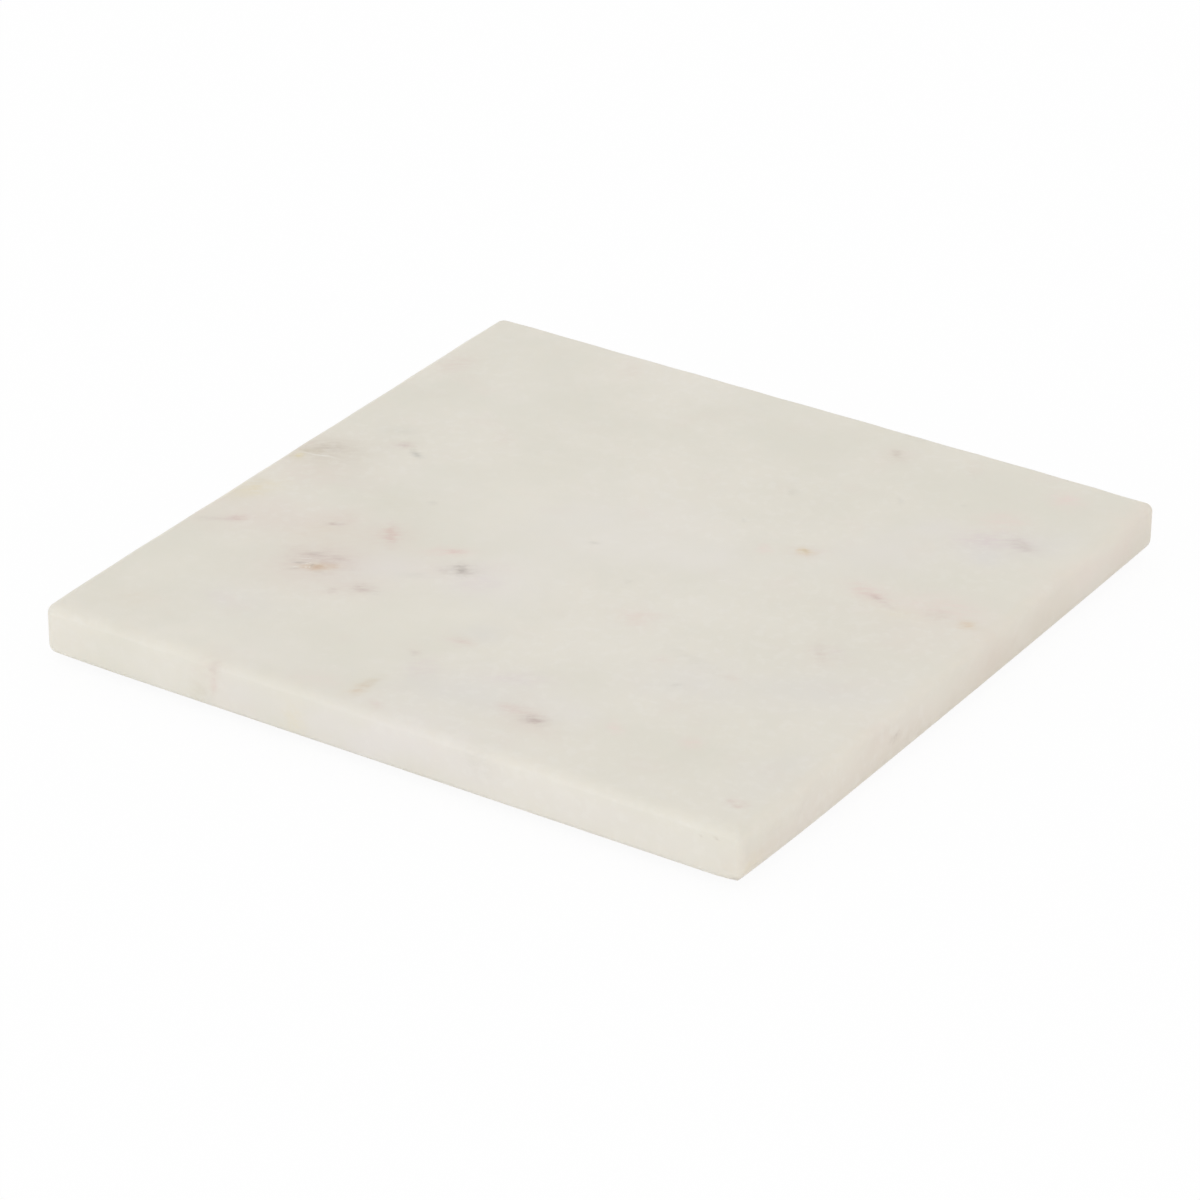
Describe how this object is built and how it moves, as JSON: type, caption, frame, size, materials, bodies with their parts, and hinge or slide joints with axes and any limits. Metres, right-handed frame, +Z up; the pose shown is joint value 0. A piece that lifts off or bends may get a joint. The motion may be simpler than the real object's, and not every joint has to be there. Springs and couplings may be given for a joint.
{
  "type": "trivet",
  "caption": "Square slab of pale cream marble with eased edges on bonded bumper feet, which holds a hot pot or dish clear of a table.",
  "frame": {"origin": "on the table, under the middle of the slab", "axes": "+Z up out of the top face, +X and +Y along the slab's sides"},
  "size_m": [0.2, 0.2, 0.0155],
  "materials": {
    "marble": "honed to a soft polish",
    "silicone": "translucent, matte",
    "adhesive": "clear film"
  },
  "bodies": {
    "root": {"slab": "marble", "foot_front_left": "silicone", "foot_front_right": "silicone", "foot_back_right": "silicone", "foot_back_left": "silicone", "adhesive_front_left": "adhesive", "adhesive_front_right": "adhesive", "adhesive_back_right": "adhesive", "adhesive_back_left": "adhesive"}
  },
  "joints": []
}
